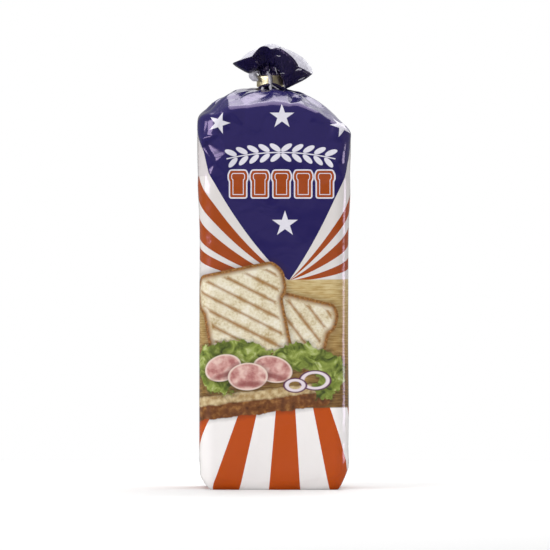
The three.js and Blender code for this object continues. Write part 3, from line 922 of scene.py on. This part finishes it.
def print_toast(tree, below, xy, centre, half_size, turn):
    """A whole slice seen from the front: brown crust, pale crumb and soft lines from the grill."""
    shape = toast_slice(tree, xy, centre, half_size, turn)
    colour = shadow(tree, below, "#2b1a0e", shape, 1.0, 4.0, 0.5)
    pores = put(tree, NOISE, xy, at={"Scale": 0.5, "Detail": 5.0, "Roughness": 0.65})
    broad = put(tree, NOISE, xy, at={"Scale": 0.07, "Detail": 2.0})
    colour = ink(tree, colour, tones(tree, pores, 0.3, 0.7, "#5b3815", "#8d5f2b", "#b98a4c"), shape, 0.4)
    edge = put(tree, "MULTIPLY_ADD", pores, 4.0, put(tree, "ADD", shape, 1.6))
    patches = put(tree, "ADD", pores, broad)
    crumb = tones(tree, patches, 0.7, 1.25, "#bda77a", "#e2d7b8", "#f2ecda")
    colour = ink(tree, colour, crumb, edge, 1.8)
    local = put(tree, MAPPING, xy, (*centre, 0.0), (0, 0, turn + 0.9), vector_type="TEXTURE")
    bar = put(tree, "PINGPONG", put(tree, SPLIT, local), 5.0)
    bar = put(tree, "SUBTRACT", bar, 1.2)
    bar = roughened(tree, bar, broad, 2.4)
    bar = put(tree, "MAXIMUM", bar, put(tree, "ADD", edge, 2.0))
    return ink(tree, colour, srgb("#9a6c2f"), bar, 1.0, 0.85)


def print_leaf(tree, below, xy, centre, half_size, turn):
    """A curled salad leaf with a frilled edge and paler folds."""
    frill = put(tree, NOISE, xy, at={"Scale": 0.16, "Detail": 4.0, "Distortion": 0.6})
    shape = oval(tree, xy, centre, half_size, turn)
    shape = roughened(tree, shape, frill, 11.0)
    colour = shadow(tree, below, "#1d1f0c", shape, 0.8, 2.4, 0.6)
    tone = put(tree, NOISE, xy, at={"Scale": 0.11, "Detail": 5.0, "Distortion": 1.2})
    green = tones(tree, tone, 0.32, 0.7, "#3d4a19", "#6b7b2c", "#93a24a", "#c3cc8c")
    return ink(tree, colour, green, shape, 0.4)


def print_cut(tree, below, xy, centre, half_size, turn):
    """A folded slice of cold meat: pink, with a pale rim and a darker fold."""
    shape = oval(tree, xy, centre, half_size, turn)
    colour = shadow(tree, below, "#2b140e", shape, 0.8, 2.4, 0.6)
    colour = ink(tree, colour, srgb("#ecd6c8"), shape, 0.3)
    marble = put(tree, NOISE, xy, at={"Scale": 0.14, "Detail": 4.0})
    pink = tones(tree, marble, 0.35, 0.68, "#b0706a", "#d3a097", "#ebc9bd")
    colour = ink(tree, colour, pink, put(tree, "ADD", shape, 1.0), 0.5)
    fold_centre = centre[0] + 1.5, centre[1] - 0.55 * half_size[1]
    fold = oval(tree, xy, fold_centre, (0.72 * half_size[0], 0.2 * half_size[1]), turn)
    return ink(tree, colour, srgb("#8d4a45"), fold, 1.0, 0.8)


def print_onion_ring(tree, below, xy, centre, radius):
    """A thin ring of red onion: a purple skin outside and white flesh inside."""
    shape = oval(tree, xy, centre, (radius, 0.62 * radius))
    colour = ink(tree, below, srgb("#e9dce2"), stripe(tree, shape, -1.2, 1.2), 0.3)
    return ink(tree, colour, srgb("#5a2a4a"), stripe(tree, shape, 0.0, 0.45), 0.3)


def print_still_life(tree, colour, xy):
    colour = print_board(tree, colour, xy)
    for place in SLICES:
        colour = print_toast(tree, colour, xy, *place)
    colour = print_loaf_end(tree, colour, xy)
    for motif, places in ((print_leaf, LEAVES), (print_cut, CUTS), (print_onion_ring, ONION_RINGS)):
        for place in places:
            colour = motif(tree, colour, xy, *place)
    return colour


def new_material(name, *constants):
    """A material with its shader's constants set, as pairs of input name and value."""
    material = bpy.data.materials.new(name)
    material.use_nodes = True
    tree = material.node_tree
    shader = tree.nodes["Principled BSDF"]
    for key, value in constants:
        shader.inputs[key].default_value = value
    return material, tree, shader


def crumple(tree, place, dents, depth, share=1.0, below=None):
    """A bump of soft dents and finer sharp creases; dents for each unit of place, depth in metres.

    The share, from 0 to 1, says how much of it shows, and it goes on top of the bump below.
    """
    soft = put(tree, NOISE, place, at={"Scale": dents, "Detail": 3.0, "Distortion": 0.8})
    sharp = put(tree, "ShaderNodeTexVoronoi", place, at={"Scale": 2.2 * dents, "Randomness": 1.0})
    height = put(tree, "MULTIPLY_ADD", sharp, 0.22, soft)
    inputs = {"Strength": share, "Distance": depth, "Height": height, "Normal": below}
    return put(tree, "ShaderNodeBump", at=inputs)


def uneven(tree, place, scale, low, high):
    """A value that wanders between two limits, in patches of about 1 / scale."""
    patches = put(tree, NOISE, place, at={"Scale": scale, "Detail": 4.0})
    return put(tree, RANGE, patches, 0.3, 0.7, low, high)


def dress(tree, shader, colour, roughness, bump):
    """Links what a shader takes from the other nodes."""
    for key, value in {"Base Color": colour, "Roughness": roughness, "Normal": bump}.items():
        tree.links.new(value, shader.inputs[key])


def printed_film():
    """Printed polypropylene: deep even ink under a glossy skin, with dents that bend the mirrored lights, and
    painted shade on the gathered tail.
    """
    material, tree, shader = new_material(
        "printed_polypropylene_film", ("IOR", 1.5), ("Specular IOR Level", 0.8),
        ("Specular Tint", srgb("#e3c4f7")), ("Coat Weight", 0.25), ("Coat Roughness", 0.08))
    xy = film_coordinates(tree)
    colour = print_tuck_and_crown(tree, print_rays(tree, xy), xy)
    for u, v, turn, radius in STARS:
        colour = ink(tree, colour, srgb(INK_STAR), star(tree, xy, (u, v), radius, turn))
    colour = print_garland(tree, colour, xy)
    colour = print_toast_row(tree, colour, xy)
    colour = print_still_life(tree, colour, xy)
    height = put(tree, SPLIT, xy, output=1)
    # Painted shade: the gathered tail above the neck is printed nearly black
    tail_shade = put(tree, RANGE, height, TAIL_SHADE_FROM, TAIL_SHADE_FULL, 0.0, TAIL_SHADE_SHARE)
    colour = put(tree, MIX, tail_shade, at={6: colour, 7: srgb(TAIL_SHADE_INK)}, data_type="RGBA", output=2)
    dents = crumple(tree, xy, 0.045, 0.0006)
    gathered = put(tree, RANGE, height, CRUMPLED_FROM, CRUMPLED_FULL, 0.0, 1.0)
    bump = crumple(tree, xy, 0.15, 0.0015, gathered, dents)
    dress(tree, shader, colour, uneven(tree, xy, 0.05, 0.13, 0.2), bump)
    return material


def unprinted_film():
    """The film's bare side: a grey haze with a soft sheen, lighter and darker where it is crumpled."""
    material, tree, shader = new_material("unprinted_polypropylene_film", ("IOR", 1.5), ("Coat Weight", 0.2))
    place = put(tree, "ShaderNodeTexCoord", output="Object")
    haze = tones(tree, uneven(tree, place, 160.0, 0.0, 1.0), 0.0, 1.0, "#aeacb8", "#d3d1da")
    dress(tree, shader, haze, uneven(tree, place, 90.0, 0.22, 0.36), crumple(tree, place, 110.0, 0.0006))
    return material


def gold_foil():
    """Gold foil on a thin strip: satin metal, warm where it faces the light and olive where it turns away."""
    material, tree, shader = new_material("crumpled_gold_foil", ("Metallic", 1.0))
    place = put(tree, "ShaderNodeTexCoord", output="Object")
    gold = tones(tree, uneven(tree, place, 220.0, 0.0, 1.0), 0.0, 1.0, "#cdbf96", "#ddd3ba")
    dress(tree, shader, gold, uneven(tree, place, 300.0, 0.3, 0.44), crumple(tree, place, 260.0, 0.00016))
    return material


# The studio

ROOM_LIGHT = 0.3
CAMERA_WHITE = 1.0
PACK_MIDDLE = Vector((0, 0, 0.2))
# Place, width, height and power of each light
SOFTBOXES = {
    "back": ((0.65, 1.7, 1.1), 2.0, 1.0, 4.5),
    "high_back": ((0.08, 1.35, 2.0), 1.05, 1.3, 11),
    "high_back_right": ((1.15, 1.35, 2.0), 1.1, 1.3, 6),
    "overhead": ((0.1, 0.0, 2.0), 2.0, 1.8, 30),
    "left": ((-1.7, -1.5, 0.87), 1.5, 1.0, 27),
    "right": ((1.7, -0.2, 0.1), 0.6, 0.2, 2),
}
# The camera's place, with its distance from the printed face, and the width that it sees there
CAMERA_X, CAMERA_DISTANCE, CAMERA_HEIGHT = 0.0008, 5.0, 0.1726
VIEW_WIDTH = 0.4416


def softbox(name, place, width, height, power):
    """A soft rectangular light turned to the middle of the pack, and unseen by the camera."""
    data = bpy.data.lights.new(name, "AREA")
    data.shape = "RECTANGLE"
    data.size, data.size_y = width, height
    data.energy = power
    lamp = add_object(name, data)
    lamp.location = place
    lamp.rotation_euler = (PACK_MIDDLE - Vector(place)).to_track_quat("-Z", "Y").to_euler()
    lamp.visible_camera = False


def floor_paper():
    """White background paper. The pack mirrors it as dim as the rest of the room."""
    paper, tree, shader = new_material("pale_paper", ("Roughness", 0.8))
    mirrored = put(tree, "ShaderNodeLightPath", output="Is Glossy Ray")
    colour = put(tree, MIX, mirrored, at={6: srgb("#f4f4f4"), 7: srgb("#5a5a5a")}, data_type="RGBA", output=2)
    tree.links.new(colour, shader.inputs["Base Color"])
    return paper


def make_floor():
    near, far, half = -5500, 700, 5000
    corners = [(-half, near, 0), (half, near, 0), (half, far, 0), (-half, far, 0)]
    floor = mesh_object("studio_floor", corners, [(0, 1, 2, 3)], (floor_paper(),))


def make_room():
    """Even white all round: dim where it lights the pack, and pure white behind it."""
    world = bpy.data.worlds.new("studio")
    world.use_nodes = True
    tree = world.node_tree
    seen = put(tree, "ShaderNodeLightPath", output="Is Camera Ray")
    strength = put(tree, "MULTIPLY_ADD", seen, CAMERA_WHITE - ROOM_LIGHT, ROOM_LIGHT)
    tree.nodes["Background"].inputs["Color"].default_value = (1, 1, 1, 1)
    tree.links.new(strength, tree.nodes["Background"].inputs["Strength"])
    bpy.context.scene.world = world
    bpy.context.scene.view_settings.view_transform = "Standard"


def make_camera():
    """Level with the middle of the pack and far away, so that its edges stay parallel."""
    printed_face = -SIDE_DEPTH / 2 * MM
    data = bpy.data.cameras.new("camera")
    data.sensor_width = 36
    data.lens = data.sensor_width * CAMERA_DISTANCE / VIEW_WIDTH
    camera = add_object("camera", data)
    camera.location = (CAMERA_X, printed_face - CAMERA_DISTANCE, CAMERA_HEIGHT)
    camera.rotation_euler = (math.pi / 2, 0, 0)
    bpy.context.scene.camera = camera


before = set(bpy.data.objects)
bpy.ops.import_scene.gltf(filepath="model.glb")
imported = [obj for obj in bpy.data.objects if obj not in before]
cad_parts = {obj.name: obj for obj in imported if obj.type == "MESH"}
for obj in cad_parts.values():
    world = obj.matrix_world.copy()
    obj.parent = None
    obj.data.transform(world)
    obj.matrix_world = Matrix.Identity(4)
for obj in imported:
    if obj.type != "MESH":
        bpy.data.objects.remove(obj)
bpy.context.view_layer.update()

film = printed_film()
inner_film = unprinted_film()
bag = make_film_bag(film, inner_film)
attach(bag, "root")
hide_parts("bag")

# The folds include pale slivers that are painted highlights for glints
folds = make_clip_folds_and_glints(bag, film, inner_film)
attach(folds, "root")

band = make_clip_band(gold_foil())
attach(band, "root")
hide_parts("clip")

make_floor()
make_room()
for side, light in SOFTBOXES.items():
    softbox(side + "_softbox", *light)
make_camera()
